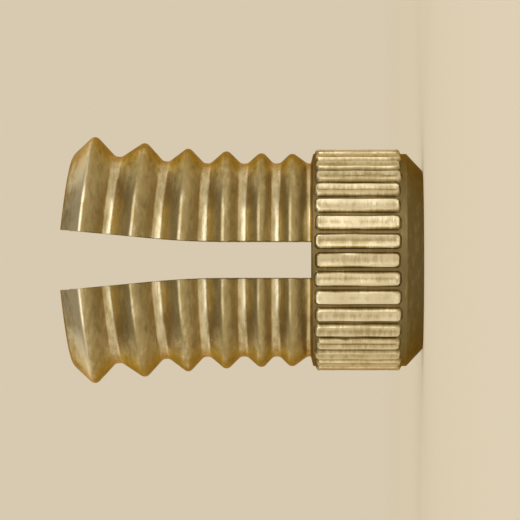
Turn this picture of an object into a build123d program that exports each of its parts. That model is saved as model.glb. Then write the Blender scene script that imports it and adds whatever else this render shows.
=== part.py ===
"""Brass expansion anchor: a knurled collar and two splayed, barbed halves, turned and sawn from one bar.

The anchor stands on the mouth face of its collar. The origin is the centre of that face,
+Z runs along the bore towards the tips of the halves, and the saw slot lies on the YZ plane.
"""

from build123d import *
from math import cos, degrees, pi, radians, sin, tan
import os

# Bore, for an M10 thread: its fine ridges are left off, so the wall stands at the thread's outer diameter.
# Between the halves it opens slightly towards the tip, as the splay leaves it.
thread_diameter = 10.0
tip_bore_diameter = 10.3
mouth_chamfer = 0.5

# Collar
collar_diameter = 17.0
collar_length = 8.4
collar_chamfer_length = 1.6
mouth_face_diameter = 13.6

# Straight knurl on the collar
knurl_ridges = 36
knurl_depth = 0.35
groove_floor_width = 0.22
ridge_flank_angle = 20.0
ridge_end_round = 0.42
ridge_mouth_inset = 0.1
ridge_neck_inset = 0.15

# Ring barbs, counted from the collar: pitch and height grow towards the tip, above one root diameter
barb_count = 6
neck_length = 0.2
neck_to_first_crest = 1.45
first_pitch = 2.3
pitch_growth = 0.4
root_diameter = 14.85
first_barb_height = 0.875
crest_taper_angle = 2.4
root_land = 0.5
crest_round = 0.45
root_round = 0.5

# Tip
tip_lead_length = 1.6
tip_face_diameter = 14.3
tip_round = 1.2

# Saw slot, and the splay that bends each half outwards after a straight stretch
slot_width = 2.8
slot_to_collar = 0.1
splay_angle = 5.4
splay_straight_length = 6.6
splay_bend_radius = 60.0
slice_overlap = 0.5

# Sizes worked out from those above
bore_radius = thread_diameter / 2
ridge_top_radius = collar_diameter / 2
groove_floor_radius = ridge_top_radius - knurl_depth
mouth_face_radius = mouth_face_diameter / 2
root_radius = root_diameter / 2
collar_chamfer_slope = (ridge_top_radius - mouth_face_radius) / collar_chamfer_length
neck_z = collar_length + neck_length
first_crest_z = neck_z + neck_to_first_crest
slot_floor_z = collar_length + slot_to_collar
bend_start_z = slot_floor_z + splay_straight_length


def crest_z(index):
    """Height of a barb's crest before the splay: each pitch is longer than the last by the same amount."""
    return first_crest_z + index * first_pitch + pitch_growth * index * (index - 1) / 2


def root_z(index):
    """Height of the root below a barb before the splay."""
    return neck_z if index == 0 else (crest_z(index - 1) + crest_z(index)) / 2


def crest_radius(index):
    """Radius of a barb's crest before the splay."""
    growth = (crest_z(index) - first_crest_z) * tan(radians(crest_taper_angle))
    return root_radius + first_barb_height + growth


straight_length = crest_z(barb_count - 1) + tip_lead_length


def bend(z):
    """Turn in degrees, and the place, that the splay gives to the middle of a half's wall at height z."""
    turn = min(max((z - bend_start_z) / splay_bend_radius, 0), radians(splay_angle))
    past_bend = max(z - bend_start_z - splay_bend_radius * turn, 0)
    out = splay_bend_radius * (1 - cos(turn)) + past_bend * sin(turn)
    up = min(z, bend_start_z) + splay_bend_radius * sin(turn) + past_bend * cos(turn)
    return degrees(turn), (bore_radius + out, 0, up)


def barb_outline(index):
    """Half section of one barb as (radius, height) corners, with the rounding of each."""
    low, top = root_z(index), crest_z(index)
    corners = [
        ((0, low - slice_overlap), 0),
        ((root_radius, low - slice_overlap), 0),
        ((root_radius, low + root_land / 2), root_round),
        ((crest_radius(index), top), crest_round),
    ]
    if index == barb_count - 1:
        return corners + [((tip_face_diameter / 2, straight_length), tip_round), ((0, straight_length), 0)]
    high = root_z(index + 1)
    return corners + [
        ((root_radius, high - root_land / 2), root_round),
        ((root_radius, high), 0),
        ((0, high), 0),
    ]


def draw(outline):
    """Draws an outline of corners and roundings in the sketch that is open."""
    with BuildLine() as edge_line:
        FilletPolyline(
            *[corner for corner, _ in outline],
            radius=[rounding for _, rounding in outline],
            close=True,
        )
    make_face(edge_line.edges())


# One half of each barb, as it was turned, then the splayed half that they make
barbs = []
for index in range(barb_count):
    with BuildPart() as barb:
        with BuildSketch(Plane.XZ):
            draw(barb_outline(index))
        revolve(axis=Axis.Z)
        split(bisect_by=Plane.YZ.offset(slot_width / 2), keep=Keep.TOP)
    barbs.append(barb.part)

with BuildPart() as splayed_half:
    for index, barb_half in enumerate(barbs):
        middle = (root_z(index) + crest_z(index)) / 2
        turn, place = bend(middle)
        straight_place = Location((bore_radius, 0, middle))
        with Locations(Location(place) * Location((0, 0, 0), (0, turn, 0)) * straight_place.inverse()):
            add(barb_half)

with BuildPart() as anchor_sleeve:
    # Turned collar
    with BuildSketch(Plane.XZ):
        chamfer_end_z = collar_chamfer_length - knurl_depth / collar_chamfer_slope
        draw(
            [
                ((0, 0), 0),
                ((mouth_face_radius, 0), 0),
                ((groove_floor_radius, chamfer_end_z), 0),
                ((groove_floor_radius, collar_length), 0),
                ((root_radius, neck_z), 0),
                ((0, neck_z), 0),
            ]
        )
    revolve(axis=Axis.Z)

    # Knurl ridges, each a pad with a rounded plan and sloping flanks
    ridge_width = 2 * pi * groove_floor_radius / knurl_ridges - groove_floor_width
    ridge_start = collar_chamfer_length + ridge_mouth_inset
    ridge_end = collar_length - ridge_neck_inset
    sink_radius = groove_floor_radius - knurl_depth
    sink_spread = knurl_depth * tan(radians(ridge_flank_angle))
    ridge_planes = [
        Plane(
            origin=(
                sink_radius * cos(2 * pi * ridge / knurl_ridges),
                sink_radius * sin(2 * pi * ridge / knurl_ridges),
                (ridge_start + ridge_end) / 2,
            ),
            x_dir=(0, 0, 1),
            z_dir=(cos(2 * pi * ridge / knurl_ridges), sin(2 * pi * ridge / knurl_ridges), 0),
        )
        for ridge in range(knurl_ridges)
    ]
    with BuildSketch(*ridge_planes):
        RectangleRounded(
            ridge_end - ridge_start + 2 * sink_spread,
            ridge_width + 2 * sink_spread,
            ridge_end_round + sink_spread,
        )
    extrude(amount=2 * knurl_depth, taper=ridge_flank_angle)

    # Floor of the saw slot, then the two splayed halves beside the slot
    with BuildSketch(Plane.XY.offset(slot_floor_z)):
        Rectangle(slot_width, collar_diameter)
    extrude(amount=neck_length, mode=Mode.SUBTRACT)
    add(splayed_half.part)
    add(splayed_half.part.mirror(Plane.YZ))

    # Bore and its mouth chamfer
    with BuildSketch(Plane.XZ):
        tip_z = anchor_sleeve.part.bounding_box().max.Z
        draw(
            [
                ((0, 0), 0),
                ((bore_radius + mouth_chamfer, 0), 0),
                ((bore_radius, mouth_chamfer), 0),
                ((bore_radius, slot_floor_z), 0),
                ((tip_bore_diameter / 2, tip_z), 0),
                ((0, tip_z), 0),
            ]
        )
    revolve(axis=Axis.Z, mode=Mode.SUBTRACT)

anchor_sleeve.part.label = "anchor_sleeve"
os.makedirs("parts", exist_ok=True)
export_step(anchor_sleeve.part, "parts/anchor_sleeve.step")
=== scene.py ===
"""Looks of a brass expansion anchor: knurl, ring barbs, thread, worn finish with painted shade, studio
light and camera.

The object's lengths are in millimetres and become metres where its mesh is made.
The studio's lengths are in metres.
The outside of each half is built as it was turned, straight, and its points are then moved by the splay.
The bore is built in place, between the splayed slot's faces.
Film is the share of a dark colour at a place, tarnish in part and painted shade in part, from 0 on bright
metal to 1 in the deepest hollows.
"""

from math import asin, atan2, cos, hypot, pi, radians, sin, sqrt, tan

import bmesh
import bpy
import numpy as np
from mathutils import Matrix, Vector


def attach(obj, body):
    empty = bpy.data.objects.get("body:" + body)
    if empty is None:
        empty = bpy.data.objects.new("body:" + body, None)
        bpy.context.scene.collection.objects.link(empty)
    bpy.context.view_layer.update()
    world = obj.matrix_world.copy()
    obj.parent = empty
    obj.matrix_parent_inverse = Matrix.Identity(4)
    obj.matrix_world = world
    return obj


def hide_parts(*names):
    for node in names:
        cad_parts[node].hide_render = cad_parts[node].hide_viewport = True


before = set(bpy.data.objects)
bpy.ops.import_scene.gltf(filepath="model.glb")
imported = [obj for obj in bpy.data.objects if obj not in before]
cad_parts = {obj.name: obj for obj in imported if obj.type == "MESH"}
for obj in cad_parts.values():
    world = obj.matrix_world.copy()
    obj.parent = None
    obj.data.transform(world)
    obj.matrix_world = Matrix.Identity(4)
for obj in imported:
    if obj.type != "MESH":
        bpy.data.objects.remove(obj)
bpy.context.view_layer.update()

MM = 0.001
NODE = "anchor_sleeve"
RANDOM_SEED = 7

# Collar and knurl
COLLAR_RADIUS = 8.5
COLLAR_LENGTH = 8.4
MOUTH_FACE_RADIUS = 6.8
COLLAR_CHAMFER_LENGTH = 1.6
KNURL_RIDGES = 36
KNURL_DEPTH = 0.35
GROOVE_FLOOR_WIDTH = 0.22
RIDGE_START = 1.7
RIDGE_END = 8.25
RIDGE_END_ROUND = 0.42
RIDGE_EDGE_ROUND = 0.2

# Unevenness of the knurl: a dip along each ridge, slow waves, and what differs from ridge to ridge
RIDGE_DIP = 0.3
RIDGE_DIP_SPREAD = (0.4, 1.4)
RIDGE_WANDER = 0.015
RIDGE_WANDER_RATE = 1.3
RIDGE_WAVE = 0.05
RIDGE_WAVE_RATE = 2.1
RIDGE_HEIGHT_SPREAD = (-0.06, 0.04)
RIDGE_END_SPREAD = (-0.07, 0.07)
# Painted shade along each ridge's middle differs from ridge to ridge
RIDGE_DIP_SHADE_SPREAD = (0.3, 1.0)

# Ring barbs, before the splay
BARB_COUNT = 6
NECK_LENGTH = 0.2
NECK_TO_FIRST_CREST = 1.45
FIRST_PITCH = 2.3
PITCH_GROWTH = 0.4
ROOT_RADIUS = 7.425
FIRST_CREST_RADIUS = 8.3
CREST_TAPER_ANGLE = radians(2.4)
ROOT_LAND = 0.5
CREST_ROUND = 0.45
ROOT_ROUND = 0.5

# Unevenness of the turned halves, as waves of (share, waves once round, rate along the axis, phase)
WOBBLE = 0.006
WOBBLE_WAVES = ((1.0, 3, 0.9, 0), (0.6, 7, -1.7, 2), (0.4, 13, 4.1, 0))

# Tip, before the splay
TIP_LEAD_LENGTH = 1.6
TIP_FACE_RADIUS = 7.15
TIP_ROUND = 1.2

# Saw slot and splay
SLOT_WIDTH = 2.8
SLOT_TO_COLLAR = 0.1
SLOT_EDGE_BEVEL = 0.05
SPLAY_ANGLE = radians(5.4)
SPLAY_STRAIGHT_LENGTH = 6.6
SPLAY_BEND_RADIUS = 60.0

# Bore and thread
BORE_RADIUS = 5.0
TIP_BORE_RADIUS = 5.15
MOUTH_CHAMFER = 0.5
TIP_EDGE_BEVEL = 0.08
THREAD_PITCH = 1.5
THREAD_DEPTH = 0.8
THREAD_FLAT_AT_ROOT = 0.15
THREAD_FLAT_AT_CREST = 0.3
THREAD_EDGE_ROUND = 0.06

# Mesh density: points across arcs, flanks, halves and slots
ARC_STEPS = 5
FLANK_STEPS = 3
HALF_STEPS = 90
SLOT_STEPS = 6
BORE_HALF_STEPS = 56

# Mesh density: the collar's rows, as distances from the chamfer's edges and from the ridges' ends
MOUTH_EDGE_STEP = 0.04
CHAMFER_EDGE_STEP = 0.1
RIDGE_END_STEPS = (0.7, 0.48, 0.34, 0.24, 0.16, 0.1, 0.05, 0, -0.08)
RIDGE_BODY_INSET = 1.2
RIDGE_BODY_ROWS = 8

# Mesh: spare turns at both ends of the thread, rounds in which its points settle,
# the distance within which points are joined, and the angle from which edges are sharp
SPARE_TURNS = 2
SETTLING_ROUNDS = 4
TOUCH = 1e-4
SHARP_ANGLE = radians(32)

# Places worked out from the sizes
FLOOR_RADIUS = COLLAR_RADIUS - KNURL_DEPTH
CHAMFER_SLOPE = (COLLAR_RADIUS - MOUTH_FACE_RADIUS) / COLLAR_CHAMFER_LENGTH
CHAMFER_END_Z = COLLAR_CHAMFER_LENGTH - KNURL_DEPTH / CHAMFER_SLOPE
RIDGE_TURN = 2 * pi / KNURL_RIDGES
RIDGE_HALF_WIDTH = pi * FLOOR_RADIUS / KNURL_RIDGES - GROOVE_FLOOR_WIDTH / 2
NECK_Z = COLLAR_LENGTH + NECK_LENGTH
FIRST_CREST_Z = NECK_Z + NECK_TO_FIRST_CREST
SLOT_FLOOR_Z = COLLAR_LENGTH + SLOT_TO_COLLAR
BEND_START_Z = SLOT_FLOOR_Z + SPLAY_STRAIGHT_LENGTH
HALF_SLOT = SLOT_WIDTH / 2

# Angle of the slot's middle, where each row round the axis starts
SLOT_MIDDLE = -pi / 2

# Film on each kind of surface: painted shade on the flanks, in the roots, along the knurl's ridges, over
# the collar's chamfer and in the thread
FLANK_SHADE = 0.63
ROOT_SHADE = 0.25
TIP_FILM = 0.12
CHAMFER_SHADE = 0.95
RIDGE_DIP_SHADE = 0.2
THREAD_SHADE = 0.7
SAWN_FILM = 0.2
SLOT_EDGE_FILM = 0.5

# Finish: colours, the film's share from which metal turns ochre and then dark, and how dark it gets at
# most; the dark colour is painted shade and tarnish
PALE_BRASS = (0.86, 0.79, 0.58)
OCHRE_BRASS = (0.52, 0.43, 0.23)
DARK_SHADE_AND_TARNISH = (0.20, 0.155, 0.065)
EDGE_TINT = (0.62, 0.39, 0.11)
OCHRE_FROM = 0.05
OCHRE_TO = 0.5
DARK_FROM = 0.42
DARK_TO = 1.0
DARKEST = 0.9

# Finish: noise scales in waves per metre, how far they shift the film, roughness, and relief in metres
PATCH_SCALE = 260
PATCH_SHIFT = 0.6
GRAIN_SCALE = (900, 900, 3200)
GRAIN_SHIFT = 0.9
GRAIN_DEPTH = 0.00001
TURNING_SCALE = (300, 300, 9000)
TURNING_DEPTH = 0.000004
ROUGHNESS = 0.24
DARK_ROUGHNESS = 0.16
GRAIN_ROUGHNESS = 0.1

# Studio: one pale colour round the horizon, into which the floor fades, and a dimmer one overhead
PALE = (0.68, 0.59, 0.44)
ZENITH = (0.32, 0.275, 0.205)
ZENITH_FROM = 0.2
ZENITH_TO = 0.75
FLOOR_COLOUR = (0.72, 0.67, 0.56)
FLOOR_GLOW = 0.42
FLOOR_HALF_WIDTH = 2.0
FADE_START = 0.1
FADE_END = 0.45

# Camera
CAMERA_PLACE = Vector((0, -0.33, 0.0057))
CAMERA_AIM = Vector((0, 0, 0.0125))
PICTURE_UP = Vector((1, 0, 0))
PICTURE_WIDTH = 0.040
SENSOR = 36
CLIP_START = 0.01
CLIP_END = 10


def crest_z(index):
    """Height of a barb's crest before the splay."""
    return FIRST_CREST_Z + index * FIRST_PITCH + PITCH_GROWTH * index * (index - 1) / 2


def root_z(index):
    """Height of the root below a barb before the splay."""
    return NECK_Z if index == 0 else (crest_z(index - 1) + crest_z(index)) / 2


def crest_radius(z):
    """Radius of the line of crests before the splay."""
    return FIRST_CREST_RADIUS + (z - FIRST_CREST_Z) * tan(CREST_TAPER_ANGLE)


STRAIGHT_LENGTH = crest_z(BARB_COUNT - 1) + TIP_LEAD_LENGTH


def bend(z):
    """Turn, distance from the axis and height that the splay gives to the middle of a half's bore wall."""
    turn = min(max((z - BEND_START_Z) / SPLAY_BEND_RADIUS, 0), SPLAY_ANGLE)
    past_bend = max(z - BEND_START_Z - SPLAY_BEND_RADIUS * turn, 0)
    out = SPLAY_BEND_RADIUS * (1 - cos(turn)) + past_bend * sin(turn)
    up = min(z, BEND_START_Z) + SPLAY_BEND_RADIUS * sin(turn) + past_bend * cos(turn)
    return turn, BORE_RADIUS + out, up


def splayed(x, z):
    """Distance from the slot's middle and height of a half's point after the splay."""
    turn, middle_x, middle_z = bend(z)
    reach = x - BORE_RADIUS
    return middle_x + reach * cos(turn), middle_z - reach * sin(turn)


def half_slot(z):
    """Half the width of the splayed slot at height z."""
    reach = SPLAY_BEND_RADIUS + BORE_RADIUS - HALF_SLOT
    centre = BORE_RADIUS + SPLAY_BEND_RADIUS
    bend_end_x = centre - reach * cos(SPLAY_ANGLE)
    bend_end_z = BEND_START_Z + reach * sin(SPLAY_ANGLE)
    if z <= BEND_START_Z:
        return HALF_SLOT
    if z <= bend_end_z:
        return centre - sqrt(reach**2 - (z - BEND_START_Z) ** 2)
    return bend_end_x + (z - bend_end_z) * tan(SPLAY_ANGLE)


def tip_face_z(x):
    """Height of a half's tilted end face at a distance from the slot's middle."""
    turn, middle_x, middle_z = bend(STRAIGHT_LENGTH)
    return middle_z - (x - middle_x) * tan(turn)


def outer_corners():
    """Corners of a straight half's outside with their rounding, from the neck to the bore at the tip."""
    corners = [((ROOT_RADIUS, NECK_Z), 0)]
    for index in range(BARB_COUNT):
        corners.append(((ROOT_RADIUS, root_z(index) + ROOT_LAND / 2), ROOT_ROUND))
        corners.append(((crest_radius(crest_z(index)), crest_z(index)), CREST_ROUND))
        if index < BARB_COUNT - 1:
            corners.append(((ROOT_RADIUS, root_z(index + 1) - ROOT_LAND / 2), ROOT_ROUND))
    corners.append(((TIP_FACE_RADIUS, STRAIGHT_LENGTH), TIP_ROUND))
    corners.append(((TIP_BORE_RADIUS, STRAIGHT_LENGTH), 0))
    return corners


def rounded_line(start, corners):
    """Points along a line through corners, each rounded by its own arc."""
    points = [Vector(start)]
    places = [Vector(start)] + [Vector(place) for place, _ in corners]
    for index, (place, rounding) in enumerate(corners):
        here = Vector(place)
        arc = [here]
        if rounding:
            back = (places[index] - here).normalized()
            ahead = (places[index + 2] - here).normalized()
            half = back.angle(ahead) / 2
            reach = rounding / tan(half)
            centre = here + (back + ahead).normalized() * rounding / sin(half)
            first = here + back * reach - centre
            last = here + ahead * reach - centre
            side = 1 if first.x * last.y - first.y * last.x > 0 else -1
            turn = side * (pi - 2 * half)
            arc = []
            for step in range(ARC_STEPS + 1):
                angle = turn * step / ARC_STEPS
                across = first.x * cos(angle) - first.y * sin(angle)
                up = first.x * sin(angle) + first.y * cos(angle)
                arc.append(centre + Vector((across, up)))
        run = arc[0] - points[-1]
        points += [points[-1] + run * step / FLANK_STEPS for step in range(1, FLANK_STEPS)]
        points += arc
    return points


class Skin:
    """Points and faces gathered from rows, in millimetres, with the film at each point and corner."""

    def __init__(self):
        self.points = []
        self.point_films = []
        self.faces = []
        self.flat = []
        self.corner_films = []

    def row(self, points):
        """Adds a row of (x, y, z, film) points and gives their numbers."""
        start = len(self.points)
        self.points += [(x, y, z) for x, y, z, _ in points]
        self.point_films += [film for _, _, _, film in points]
        return list(range(start, len(self.points)))

    def face(self, corners, flat=False, film=None):
        """Adds a face. Its film, where given, replaces that of its points."""
        self.faces.append(corners)
        self.flat.append(flat)
        self.corner_films += [self.point_films[corner] if film is None else film for corner in corners]

    def strip(self, low, high, flat=False, film=None):
        """Quads between two rows of the same length."""
        for i in range(len(low) - 1):
            self.face((low[i], low[i + 1], high[i + 1], high[i]), flat, film)

    def stitch(self, low, high, low_at, high_at, film=None):
        """Flat triangles between rows of different lengths, matched by their points' places along them."""
        i = j = 0
        while i < len(low) - 1 or j < len(high) - 1:
            next_low = low_at[i + 1] if i < len(low) - 1 else float("inf")
            next_high = high_at[j + 1] if j < len(high) - 1 else float("inf")
            if next_low <= next_high:
                self.face((low[i], low[i + 1], high[j]), True, film)
                i += 1
            else:
                self.face((low[i], high[j + 1], high[j]), True, film)
                j += 1

    def heights(self, row):
        """Heights of a row's points."""
        return [self.points[i][2] for i in row]

    def turns(self, row):
        """Angles of a row's points from the middle of a slot, rising steadily."""
        angles = [(atan2(self.points[i][1], self.points[i][0]) - SLOT_MIDDLE) % (2 * pi) for i in row]
        if angles[0] > angles[1]:
            angles[0] -= 2 * pi
        if angles[-1] < angles[-2]:
            angles[-1] += 2 * pi
        return angles


def polar(radius, angle, z, film):
    """A point by its radius and angle."""
    return radius * cos(angle), radius * sin(angle), z, film


def half_angle(half, share, edge_x, radius):
    """Angle of a point a share of the way across a half, whose edges lie edge_x from the slot's middle."""
    edge = asin(edge_x / radius)
    return half * pi + SLOT_MIDDLE + edge + share * (pi - 2 * edge)


def gap_angle(half, share, radius, z):
    """Angle of a point a given share of the way across the slot that follows a half."""
    edge = asin(half_slot(z) / radius)
    return (half + 1) * pi + SLOT_MIDDLE + (2 * share - 1) * edge


def half_places(half):
    """Functions that give the angles of the bore's columns across a half."""
    return [
        lambda r, z, s=step / BORE_HALF_STEPS: half_angle(half, s, half_slot(z), r)
        for step in range(BORE_HALF_STEPS + 1)
    ]


def gap_places(half, steps):
    """Functions that give the angles of the bore's columns across the slot that follows a half."""
    return [lambda r, z, s=step / SLOT_STEPS: gap_angle(half, s, r, z) for step in steps]


def round_places():
    """Functions that give the angles of columns once round the bore, from the middle of a slot."""
    middle = SLOT_STEPS // 2
    places = gap_places(-1, range(middle, SLOT_STEPS))
    places += half_places(0)[:-1] + gap_places(0, range(SLOT_STEPS))
    places += half_places(1)[:-1] + gap_places(1, range(middle + 1))
    return places


def smooth(value):
    """Eases from 0 to 1."""
    value = min(1.0, max(0.0, value))
    return value * value * (3 - 2 * value)


def ridge_height(across, along, dip):
    """Share of the knurl's depth at a place across and along a ridge, from its middle, with its dip."""
    half_length = (RIDGE_END - RIDGE_START) / 2
    past_side = abs(across) - RIDGE_HALF_WIDTH + RIDGE_END_ROUND
    past_end = abs(along) - half_length + RIDGE_END_ROUND
    rounded = hypot(max(past_side, 0), max(past_end, 0))
    outside = rounded + min(max(past_side, past_end), 0) - RIDGE_END_ROUND
    inward = min(1.0, max(0.0, -outside / RIDGE_EDGE_ROUND))
    saddle = dip * smooth(1 - abs(across) / (RIDGE_HALF_WIDTH - RIDGE_EDGE_ROUND))
    return sin(pi / 2 * inward) - saddle * smooth(-outside / RIDGE_END_ROUND)


def knurl_angles():
    """Angles once round the collar from the middle of a slot, closer together at each ridge's edges."""
    edge = RIDGE_EDGE_ROUND / RIDGE_HALF_WIDTH
    places = [0, 0.5, 1 - edge, 1 - edge / 2, 1]
    shares = sorted({-place for place in places} | set(places))
    angles = []
    for ridge in range(KNURL_RIDGES + 1):
        angles += [ridge * RIDGE_TURN + share * RIDGE_HALF_WIDTH / FLOOR_RADIUS for share in shares]
        angles.append((ridge + 0.5) * RIDGE_TURN)
    return [angle + SLOT_MIDDLE for angle in angles if -TOUCH < angle < 2 * pi + TOUCH]


def collar_heights():
    """Heights of the collar's rows, closer together at the chamfer's edges and at the ridges' ends."""
    chamfer = [0.0, MOUTH_EDGE_STEP, CHAMFER_END_Z / 2, CHAMFER_END_Z - CHAMFER_EDGE_STEP, CHAMFER_END_Z]
    foot = [RIDGE_START + step for step in reversed(RIDGE_END_STEPS)]
    body_start = RIDGE_START + RIDGE_BODY_INSET
    body_end = RIDGE_END - RIDGE_BODY_INSET
    body = list(np.linspace(body_start, body_end, RIDGE_BODY_ROWS))
    head = [RIDGE_END - step for step in RIDGE_END_STEPS]
    return chamfer + foot + body + head + [COLLAR_LENGTH]


def collar_rows(skin, random):
    """The knurled outside of the collar, row by row from the mouth face to the shoulder."""
    taller = random.uniform(*RIDGE_HEIGHT_SPREAD, KNURL_RIDGES)
    shifts = random.uniform(*RIDGE_END_SPREAD, (KNURL_RIDGES, 2))
    dips = RIDGE_DIP * random.uniform(*RIDGE_DIP_SPREAD, KNURL_RIDGES)
    phases = random.uniform(0, 2 * pi, KNURL_RIDGES)
    dip_shades = random.uniform(*RIDGE_DIP_SHADE_SPREAD, KNURL_RIDGES)
    angles = knurl_angles()
    rows = []
    for z in collar_heights():
        floor = min(FLOOR_RADIUS, MOUTH_FACE_RADIUS + CHAMFER_SLOPE * z)
        points = []
        for angle in angles:
            nearest = round(angle / RIDGE_TURN)
            ridge = nearest % KNURL_RIDGES
            across = (angle - nearest * RIDGE_TURN) * FLOOR_RADIUS
            across += RIDGE_WANDER * sin(RIDGE_WANDER_RATE * z + phases[ridge])
            along = z - (RIDGE_START + RIDGE_END) / 2
            along += shifts[ridge][0] if along < 0 else shifts[ridge][1]
            height = ridge_height(across, along, dips[ridge]) * (1 + taller[ridge])
            wave = RIDGE_WAVE * sin(RIDGE_WAVE_RATE * z + 2 * phases[ridge])
            lift = KNURL_DEPTH * max(0.0, height + wave * height)
            # Painted shade: along each ridge's middle, and in the grooves, where the film grows as the
            # ridge falls away
            dip_shade = RIDGE_DIP_SHADE * dip_shades[ridge] * smooth(1 - abs(across) / RIDGE_HALF_WIDTH)
            # The chamfer gets painted shade all over
            film = max(1 - lift / KNURL_DEPTH, dip_shade) if z > CHAMFER_END_Z else CHAMFER_SHADE
            points.append(polar(floor + min(lift, KNURL_DEPTH), angle, z, film))
        rows.append(skin.row(points))
    for low, high in zip(rows, rows[1:]):
        skin.strip(low, high)
    return rows


def wobble(angle, z):
    """Small unevenness of the turned surface."""
    total = sum(
        share * sin(waves * angle + rate * z + phase)
        for share, waves, rate, phase in WOBBLE_WAVES
    )
    return WOBBLE * total


def half_row(half, radius, z):
    """Points across a straight half at one height, with a bevel at each slot edge, as (x, y) pairs."""
    edge_radius = radius - SLOT_EDGE_BEVEL
    row = [(edge_radius, half_angle(half, 0, HALF_SLOT, edge_radius))]
    for step in range(HALF_STEPS + 1):
        angle = half_angle(half, step / HALF_STEPS, HALF_SLOT + SLOT_EDGE_BEVEL, radius)
        row.append((radius + wobble(angle, z), angle))
    row.append((edge_radius, half_angle(half, 1, HALF_SLOT, edge_radius)))
    return [(r * cos(angle), r * sin(angle)) for r, angle in row]


def flank_shade(radius, z):
    """Painted shade at a place on the barbs: most halfway up a flank, little in the roots, none on the
    crests.
    """
    depth = min(1.0, max(0.0, (crest_radius(z) - radius) / (crest_radius(z) - ROOT_RADIUS)))
    most = FLANK_SHADE if z < crest_z(BARB_COUNT - 1) else TIP_FILM
    least = ROOT_SHADE if depth > 0.5 else 0.0
    return max(least, most * sqrt(4 * depth * (1 - depth)))


def halves_rows(skin):
    """The radius at the slot's floor, and rows of both halves' outsides from that floor to the tips."""
    line = rounded_line((FLOOR_RADIUS, COLLAR_LENGTH), outer_corners())
    cut = next(i for i, place in enumerate(line) if place.y > SLOT_FLOOR_Z)
    share = (SLOT_FLOOR_Z - line[cut - 1].y) / (line[cut].y - line[cut - 1].y)
    line = [line[cut - 1].lerp(line[cut], share)] + line[cut:-1]
    halves = []
    for half, side in enumerate((1, -1)):
        rows = []
        for radius, z in line:
            points = []
            for x, y in half_row(half, radius, z):
                out, up = splayed(side * x, z)
                points.append((side * out, y, up, flank_shade(radius, z)))
            rows.append(skin.row(points))
        for low, high in zip(rows, rows[1:]):
            skin.strip(low, high)
        halves.append(rows)
    return line[0].x, halves


def thread_outline():
    """Heights within one pitch at which the thread's outline turns, and the depths there."""
    flank = (THREAD_PITCH - THREAD_FLAT_AT_ROOT - THREAD_FLAT_AT_CREST) / 2
    crest_start = THREAD_FLAT_AT_ROOT + flank
    crest_end = crest_start + THREAD_FLAT_AT_CREST
    ease = THREAD_EDGE_ROUND / 2
    turns = [
        (0.0, 0.0),
        (THREAD_FLAT_AT_ROOT, 0.0),
        (THREAD_FLAT_AT_ROOT + flank / 2, THREAD_DEPTH / 2),
        (crest_start - ease, THREAD_DEPTH - THREAD_EDGE_ROUND),
        (crest_start + ease, THREAD_DEPTH),
        (crest_end - ease, THREAD_DEPTH),
        (crest_end + ease, THREAD_DEPTH - THREAD_EDGE_ROUND),
        (crest_end + flank / 2, THREAD_DEPTH / 2),
        (THREAD_PITCH, 0.0),
    ]
    return [z for z, _ in turns], [depth for _, depth in turns]


THREAD_HEIGHTS, THREAD_DEPTHS = thread_outline()


def thread_radius(turn, z):
    """Radius of the threaded bore at a turn from the slot's middle, with mouth chamfer and tip bevel."""
    grown = max(0.0, (z - SLOT_FLOOR_Z) / (STRAIGHT_LENGTH - SLOT_FLOOR_Z))
    wall = BORE_RADIUS + (TIP_BORE_RADIUS - BORE_RADIUS) * grown
    phase = (z - THREAD_PITCH * turn / (2 * pi)) % THREAD_PITCH
    thread = wall - float(np.interp(phase, THREAD_HEIGHTS, THREAD_DEPTHS))
    mouth = BORE_RADIUS + MOUTH_CHAMFER - z
    tip = TIP_BORE_RADIUS + TIP_EDGE_BEVEL - (tip_face_z(abs(BORE_RADIUS * sin(turn))) - z)
    return max(thread, mouth, min(tip, wall + TIP_EDGE_BEVEL))


def bore_column(place, low, high):
    """Points up one line of the bore: the same in each turn of the thread, and moved with the angle."""
    turns = range(-SPARE_TURNS, int((STRAIGHT_LENGTH - low) / THREAD_PITCH) + SPARE_TURNS + 1)
    base = int(low / THREAD_PITCH) * THREAD_PITCH
    column = []
    for turn in turns:
        for offset in THREAD_HEIGHTS[:-1]:
            z = base + turn * THREAD_PITCH + offset
            radius = BORE_RADIUS - THREAD_DEPTH / 2
            height = z
            for _ in range(SETTLING_ROUNDS):
                angle = place(radius, min(STRAIGHT_LENGTH, max(low, height)))
                top = high(abs(radius * cos(angle)))
                height = min(top, max(low, z + THREAD_PITCH * (angle - SLOT_MIDDLE) / (2 * pi)))
                radius = thread_radius(angle - SLOT_MIDDLE, height)
            # Painted shade in the thread's grooves, growing with their depth
            depth = min(1.0, (radius - BORE_RADIUS + THREAD_DEPTH) / THREAD_DEPTH)
            column.append(polar(radius, angle, height, THREAD_SHADE * depth))
    return column


def bore_patch(skin, places, low, high):
    """Columns of the bore's wall at the angles that places gives, from low up to what high gives."""
    columns = [skin.row(bore_column(place, low, high)) for place in places]
    for left, right in zip(columns, columns[1:]):
        skin.strip(left, right)
    return columns


def gap_row(skin, half, radius):
    """Points across the slot after a half, at the slot's floor."""
    angles = [gap_angle(half, step / SLOT_STEPS, radius, SLOT_FLOOR_Z) for step in range(SLOT_STEPS + 1)]
    return skin.row([polar(radius, angle, SLOT_FLOOR_Z, SLOT_EDGE_FILM) for angle in angles])


def slot_floor_ring(skin, radius, halves):
    """The outer edge at the slot's floor, once round from the middle of a slot, and the two gaps in it."""
    gaps = [gap_row(skin, half, radius) for half in (-1, 0, 1)]
    middle = SLOT_STEPS // 2
    ring = gaps[0][middle:-1] + halves[0][0] + gaps[1][1:-1] + halves[1][0] + gaps[2][1 : middle + 1]
    return ring, gaps[1:]


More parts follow.
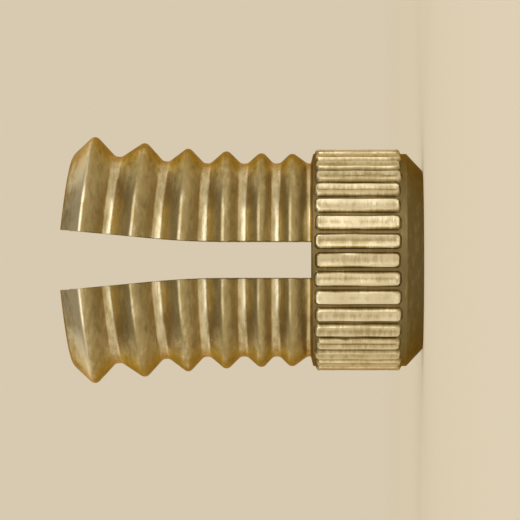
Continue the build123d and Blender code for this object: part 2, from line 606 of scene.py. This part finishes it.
def sleeve_skin(random):
    """The whole sleeve as one closed skin."""
    skin = Skin()
    collar = collar_rows(skin, random)
    shoulder_radius, halves = halves_rows(skin)

    # Shoulder: from the collar's last row to a ring at the slot's floor
    ring, gaps = slot_floor_ring(skin, shoulder_radius - SLOT_EDGE_BEVEL, halves)
    skin.stitch(collar[-1], ring, skin.turns(collar[-1]), skin.turns(ring))

    # Bore through the collar, and the mouth face round it
    collar_bore = bore_patch(skin, round_places(), 0.0, lambda x: SLOT_FLOOR_Z)
    mouth = [column[0] for column in collar_bore]
    skin.stitch(collar[0], mouth, skin.turns(collar[0]), skin.turns(mouth), film=SAWN_FILM)

    # Each half: bore, end face, and the sawn faces on both sides
    for half, rows in enumerate(halves):
        patch = bore_patch(skin, half_places(half), SLOT_FLOOR_Z, tip_face_z)
        tip = [column[-1] for column in patch]
        skin.stitch(rows[-1], tip, skin.turns(rows[-1]), skin.turns(tip), film=SAWN_FILM)
        for side in (0, -1):
            outer = [row[side] for row in rows]
            inner = patch[side]
            skin.stitch(outer, inner, skin.heights(outer), skin.heights(inner), film=SAWN_FILM)

        # Floor of the slot that follows this half
        start = SLOT_STEPS // 2 + (half + 1) * BORE_HALF_STEPS + half * SLOT_STEPS
        floor = [column[-1] for column in collar_bore[start : start + SLOT_STEPS + 1]]
        if half == 1:
            floor += [column[-1] for column in collar_bore[1 : SLOT_STEPS // 2 + 1]]
        skin.strip(gaps[half], floor, flat=True, film=SAWN_FILM)
    return skin


def linked_object(name, data):
    """An object in the scene that shows a mesh, a lamp or a camera."""
    made = bpy.data.objects.new(name, data)
    bpy.context.scene.collection.objects.link(made)
    return made


def mesh_object(name, skin):
    """A closed mesh object in metres from a skin, with doubled points joined."""
    mesh = bpy.data.meshes.new(name)
    mesh.from_pydata([(x * MM, y * MM, z * MM) for x, y, z in skin.points], [], skin.faces)
    mesh.polygons.foreach_set("use_smooth", [not flat for flat in skin.flat])
    film = mesh.attributes.new("film", "FLOAT", "CORNER")
    film.data.foreach_set("value", skin.corner_films)
    shape = bmesh.new()
    shape.from_mesh(mesh)
    bmesh.ops.remove_doubles(shape, verts=shape.verts, dist=TOUCH * MM)
    bmesh.ops.dissolve_degenerate(shape, edges=shape.edges, dist=TOUCH * MM)
    bmesh.ops.recalc_face_normals(shape, faces=shape.faces)
    shape.to_mesh(mesh)
    shape.free()
    mesh.set_sharp_from_angle(angle=SHARP_ANGLE)
    return linked_object(name, mesh)


def nodes_of(owner):
    """The node tree of a material or world, and a function that adds a node with settings to it."""
    owner.use_nodes = True
    tree = owner.node_tree

    def add(kind, inputs=None, **settings):
        node = tree.nodes.new(kind)
        for name, value in settings.items():
            setattr(node, name, value)
        for name, value in (inputs or {}).items():
            socket = node.inputs[name]
            if isinstance(value, bpy.types.NodeSocket):
                tree.links.new(value, socket)
            else:
                socket.default_value = value
        return node

    return tree, add


def computed(add, operation, *values):
    """The outcome of an operation on numbers or sockets."""
    return add("ShaderNodeMath", dict(enumerate(values)), operation=operation).outputs[0]


def eased(add, value, start, end, top=1.0):
    """A value that eases from 0 to top while another goes from start to end."""
    return add(
        "ShaderNodeMapRange",
        {"Value": value, "From Min": start, "From Max": end, "To Min": 0.0, "To Max": top},
        interpolation_type="SMOOTHSTEP",
    ).outputs["Result"]


def blend(add, share, first, second):
    """A colour between two others, nearer to the second as the share grows."""
    return add("ShaderNodeMix", {"Factor": share, 6: first, 7: second}, data_type="RGBA").outputs[2]


def brass():
    """Brass with a clean pale skin, ochre tarnish in patches, and a film of painted shade and tarnish that
    turns it ochre and dark in the hollows and on the flanks.
    """
    material = bpy.data.materials.new("brass")
    tree, add = nodes_of(material)
    shader = tree.nodes["Principled BSDF"]
    shader.inputs["Metallic"].default_value = 1.0
    shader.inputs["Specular Tint"].default_value = (*EDGE_TINT, 1)

    place = add("ShaderNodeTexCoord").outputs["Object"]
    film = add("ShaderNodeAttribute", attribute_name="film").outputs["Fac"]
    patches = add(
        "ShaderNodeTexNoise",
        {"Vector": place, "Scale": PATCH_SCALE, "Detail": 3, "Roughness": 0.6},
    ).outputs["Fac"]
    drawn = add("ShaderNodeMapping", {"Vector": place, "Scale": GRAIN_SCALE}).outputs[0]
    grain = add(
        "ShaderNodeTexNoise",
        {"Vector": drawn, "Scale": 1.0, "Detail": 4, "Roughness": 0.65},
    ).outputs["Fac"]

    # Colour: the film, painted shade and tarnish, gathers in the hollows and on the flanks with ragged
    # edges, and patches of the rest have aged
    ragged = computed(add, "MULTIPLY_ADD", grain, GRAIN_SHIFT, -GRAIN_SHIFT / 2)
    ragged_film = computed(add, "ADD", film, ragged)
    patchy = computed(add, "MULTIPLY_ADD", patches, PATCH_SHIFT, -PATCH_SHIFT / 2)
    dark = eased(add, ragged_film, DARK_FROM, DARK_TO, DARKEST)
    ochre_share = eased(add, computed(add, "ADD", ragged_film, patchy), OCHRE_FROM, OCHRE_TO)
    skin_colour = blend(add, ochre_share, (*PALE_BRASS, 1), (*OCHRE_BRASS, 1))
    tree.links.new(blend(add, dark, skin_colour, (*DARK_SHADE_AND_TARNISH, 1)), shader.inputs["Base Color"])

    # Roughness: satin, duller under the film
    dull = computed(add, "MULTIPLY_ADD", dark, DARK_ROUGHNESS, ROUGHNESS)
    rough = computed(add, "MULTIPLY_ADD", grain, GRAIN_ROUGHNESS, dull)
    tree.links.new(rough, shader.inputs["Roughness"])

    # Relief: turning marks round the axis, and a fine unevenness
    rings = add("ShaderNodeMapping", {"Vector": place, "Scale": TURNING_SCALE}).outputs[0]
    marks = add(
        "ShaderNodeTexNoise",
        {"Vector": rings, "Scale": 1.0, "Detail": 2, "Roughness": 0.6},
    ).outputs["Fac"]
    normal = add(
        "ShaderNodeBump",
        {"Height": marks, "Strength": 1.0, "Distance": TURNING_DEPTH},
    ).outputs["Normal"]
    normal = add(
        "ShaderNodeBump",
        {"Height": grain, "Strength": 1.0, "Distance": GRAIN_DEPTH, "Normal": normal},
    ).outputs["Normal"]
    tree.links.new(normal, shader.inputs["Normal"])
    return material


def seen_rays(add, strength):
    """A strength for the rays that show a surface to the camera, directly or in metal and glass."""
    rays = add("ShaderNodeLightPath").outputs
    shown = computed(add, "ADD", rays["Is Camera Ray"], rays["Is Glossy Ray"])
    clamped = {0: shown, 1: rays["Is Transmission Ray"]}
    shown = add("ShaderNodeMath", clamped, operation="ADD", use_clamp=True).outputs[0]
    return computed(add, "MULTIPLY", shown, strength)


def floor_paint():
    """Matt pale paint with a glow of the backdrop's colour, which turns clear with distance."""
    paint = bpy.data.materials.new("floor")
    tree, add = nodes_of(paint)
    tree.nodes.remove(tree.nodes["Principled BSDF"])
    place = add("ShaderNodeTexCoord").outputs["Object"]
    distance = add("ShaderNodeVectorMath", {0: place}, operation="LENGTH").outputs["Value"]
    matte = add("ShaderNodeBsdfDiffuse", {"Color": (*FLOOR_COLOUR, 1)}).outputs[0]
    strength = seen_rays(add, FLOOR_GLOW)
    glow = add("ShaderNodeEmission", {"Color": (*PALE, 1), "Strength": strength}).outputs[0]
    lit = add("ShaderNodeAddShader", {0: matte, 1: glow}).outputs[0]
    clear = add("ShaderNodeBsdfTransparent").outputs[0]
    fade = eased(add, distance, FADE_START, FADE_END)
    mixed = add("ShaderNodeMixShader", {0: fade, 1: lit, 2: clear}).outputs[0]
    tree.links.new(mixed, tree.nodes["Material Output"].inputs["Surface"])
    return paint


def studio_floor():
    """A wide square floor under the anchor."""
    mesh = bpy.data.meshes.new("floor")
    signs = ((-1, -1), (1, -1), (1, 1), (-1, 1))
    corners = [(x * FLOOR_HALF_WIDTH, y * FLOOR_HALF_WIDTH, 0) for x, y in signs]
    mesh.from_pydata(corners, [], [(0, 1, 2, 3)])
    mesh.materials.append(floor_paint())
    return linked_object("floor", mesh)


def studio_world():
    """Backdrop and light from all sides: pale round the horizon, dimmer overhead."""
    world = bpy.data.worlds.new("studio")
    tree, add = nodes_of(world)
    direction = add("ShaderNodeTexCoord").outputs["Generated"]
    height = add("ShaderNodeSeparateXYZ", {0: direction}).outputs["Z"]
    sky = blend(add, eased(add, height, ZENITH_FROM, ZENITH_TO), (*PALE, 1), (*ZENITH, 1))
    tree.links.new(sky, tree.nodes["Background"].inputs["Color"])
    return world


def studio_camera():
    """A camera that lies on its side, so that the anchor's axis runs across the picture."""
    data = bpy.data.cameras.new("camera")
    data.sensor_width = SENSOR
    data.lens = SENSOR * (CAMERA_PLACE - CAMERA_AIM).length / PICTURE_WIDTH
    data.clip_start = CLIP_START
    data.clip_end = CLIP_END
    camera = linked_object("camera", data)
    back = (CAMERA_PLACE - CAMERA_AIM).normalized()
    right = PICTURE_UP.cross(back)
    turned = Matrix((right, PICTURE_UP, back)).transposed().to_4x4()
    camera.matrix_world = Matrix.Translation(CAMERA_PLACE) @ turned
    return camera


def softbox(name, place, size, radiance):
    """A soft rectangular lamp that faces the anchor, by its brightness."""
    data = bpy.data.lights.new(name, "AREA")
    data.energy = radiance * pi * size[0] * size[1]
    data.shape = "RECTANGLE"
    data.size, data.size_y = size
    lamp = linked_object(name, data)
    lamp.location = place
    lamp.rotation_mode = "QUATERNION"
    lamp.rotation_quaternion = (CAMERA_AIM - Vector(place)).to_track_quat("-Z", "Y")


sleeve = mesh_object("sleeve", sleeve_skin(np.random.default_rng(RANDOM_SEED)))
sleeve.data.materials.append(brass())
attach(sleeve, "root")
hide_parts(NODE)

floor = studio_floor()

bpy.context.scene.world = studio_world()
bpy.context.scene.camera = studio_camera()
softbox("key", place=(0.32, -0.42, 0.22), size=(0.62, 0.44), radiance=1.02)
softbox("fill", place=(-0.36, -0.40, 0.24), size=(0.42, 0.36), radiance=0.8)
softbox("back left", place=(0.38, 0.40, 0.36), size=(0.42, 0.42), radiance=0.4)
softbox("back right", place=(-0.38, 0.40, 0.36), size=(0.42, 0.42), radiance=0.4)
bpy.context.scene.view_settings.view_transform = "Standard"
